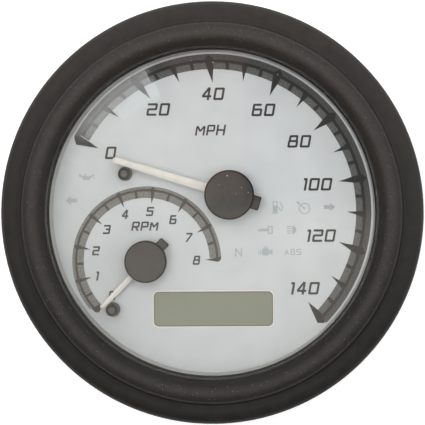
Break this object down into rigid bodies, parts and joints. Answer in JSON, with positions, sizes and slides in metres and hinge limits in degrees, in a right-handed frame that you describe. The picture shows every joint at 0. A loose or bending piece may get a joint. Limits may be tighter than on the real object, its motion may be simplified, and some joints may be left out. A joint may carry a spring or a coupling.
{
  "type": "motorcycle instrument cluster",
  "caption": "Round motorcycle instrument cluster: speedometer with an inset tachometer, display window and tell-tales under a clear lens, in a rubber mounting gasket.",
  "frame": {"origin": "centre of the rear mounting plane, in which the three boss faces lie; the cluster lies on its back with its dial facing up", "axes": "+Z out of the dial towards the rider, +Y towards the top of the dial, +X to the rider's right"},
  "size_m": [0.13, 0.13, 0.0468],
  "materials": {
    "gasket_rubber": "matte, dusty moulded rubber",
    "bezel_black": "black powder-coated steel",
    "lens_clear": "clear gloss",
    "seal_rubber": "matte",
    "trim_silver": "satin",
    "dial_silver": "satin silk-screened film",
    "guide_clear": "clear",
    "tray_white": "matte white",
    "frame_cream": "matte",
    "lcd_glass": "grey-green display glass",
    "diffuser_white": "matte",
    "strip_rubber": "matte",
    "pin_black": "satin",
    "needle_cream": "satin",
    "cap_black": "satin",
    "shaft_steel": "polished",
    "gear_plastic": "natural acetal",
    "rotor_magnet": "bonded ferrite",
    "motor_case": "matte",
    "stator_steel": "stamped",
    "coil_copper": "enamelled copper wire",
    "pin_tinned": "tinned",
    "board_green": "solder mask",
    "led_white": "clear",
    "chip_black": "matte",
    "can_aluminium": "satin",
    "screw_zinc": "zinc plated",
    "housing_black": "moulded texture",
    "membrane_white": "matte",
    "insert_brass": "turned",
    "label_silver": "blank foil"
  },
  "bodies": {
    "case": {"mounting_gasket": "gasket_rubber", "bezel_ring": "bezel_black", "lens": "lens_clear", "lens_seal": "seal_rubber", "trim_ring": "trim_silver", "dial_plate": "dial_silver", "light_guide": "guide_clear", "light_tray": "tray_white", "lcd_frame": "frame_cream", "lcd_glass": "lcd_glass", "lcd_diffuser": "diffuser_white", "lcd_contact_strips": "strip_rubber", "speed_stop_pin": "pin_black", "tach_stop_pin": "pin_black", "speed_motor_cover": "motor_case", "speed_motor_base": "motor_case", "speed_motor_axles": "shaft_steel", "speed_motor_stator": "stator_steel", "speed_motor_coils": "coil_copper", "speed_motor_pins": "pin_tinned", "tach_motor_cover": "motor_case", "tach_motor_base": "motor_case", "tach_motor_axles": "shaft_steel", "tach_motor_stator": "stator_steel", "tach_motor_coils": "coil_copper", "tach_motor_pins": "pin_tinned", "circuit_board": "board_green", "telltale_leds": "led_white", "backlight_leds": "led_white", "processor_chip": "chip_black", "driver_chips": "chip_black", "capacitors": "can_aluminium", "oscillator": "can_aluminium", "connector_terminals": "pin_tinned", "board_screws": "screw_zinc", "rear_housing": "housing_black", "housing_seal": "seal_rubber", "vent_membrane": "membrane_white", "mounting_inserts": "insert_brass", "blank_label": "label_silver"},
    "speed_pointer": {"speed_output_shaft": "shaft_steel", "speed_output_wheel": "gear_plastic", "speed_needle": "needle_cream", "speed_needle_cap": "cap_black"},
    "speed_idler": {"speed_idler_gear": "gear_plastic"},
    "speed_rotor_body": {"speed_rotor": "rotor_magnet"},
    "tach_pointer": {"tach_output_shaft": "shaft_steel", "tach_output_wheel": "gear_plastic", "tach_needle": "needle_cream", "tach_needle_cap": "cap_black"},
    "tach_idler": {"tach_idler_gear": "gear_plastic"},
    "tach_rotor_body": {"tach_rotor": "rotor_magnet"}
  },
  "joints": [
    {"name": "speed_pointer_turn", "type": "hinge", "parent": "case", "child": "speed_pointer", "pos_m": [0.00522, 0.00546, 0.016], "axis": [0, 0, -1], "range_deg": [0, 218]},
    {"name": "speed_idler_turn", "type": "hinge", "parent": "case", "child": "speed_idler", "pos_m": [0.01141, 0.0098, 0.016], "axis": [0, 0, -1], "range_deg": [-1314, 0]},
    {"name": "speed_rotor_turn", "type": "hinge", "parent": "case", "child": "speed_rotor_body", "pos_m": [0.01761, 0.01413, 0.016], "axis": [0, 0, -1], "range_deg": [0, 7884]},
    {"name": "tach_pointer_turn", "type": "hinge", "parent": "case", "child": "tach_pointer", "pos_m": [-0.02083, -0.01511, 0.016], "axis": [0, 0, -1], "range_deg": [0, 225]},
    {"name": "tach_idler_turn", "type": "hinge", "parent": "case", "child": "tach_idler", "pos_m": [-0.02214, -0.00766, 0.016], "axis": [0, 0, -1], "range_deg": [-1356, 0]},
    {"name": "tach_rotor_turn", "type": "hinge", "parent": "case", "child": "tach_rotor_body", "pos_m": [-0.02346, -0.00022, 0.016], "axis": [0, 0, -1], "range_deg": [0, 8136]}
  ],
  "couplings": [
    {"joint": "speed_idler_turn", "follows": "speed_pointer_turn", "ratio": -6},
    {"joint": "speed_rotor_turn", "follows": "speed_pointer_turn", "ratio": 36},
    {"joint": "tach_idler_turn", "follows": "tach_pointer_turn", "ratio": -6},
    {"joint": "tach_rotor_turn", "follows": "tach_pointer_turn", "ratio": 36}
  ]
}
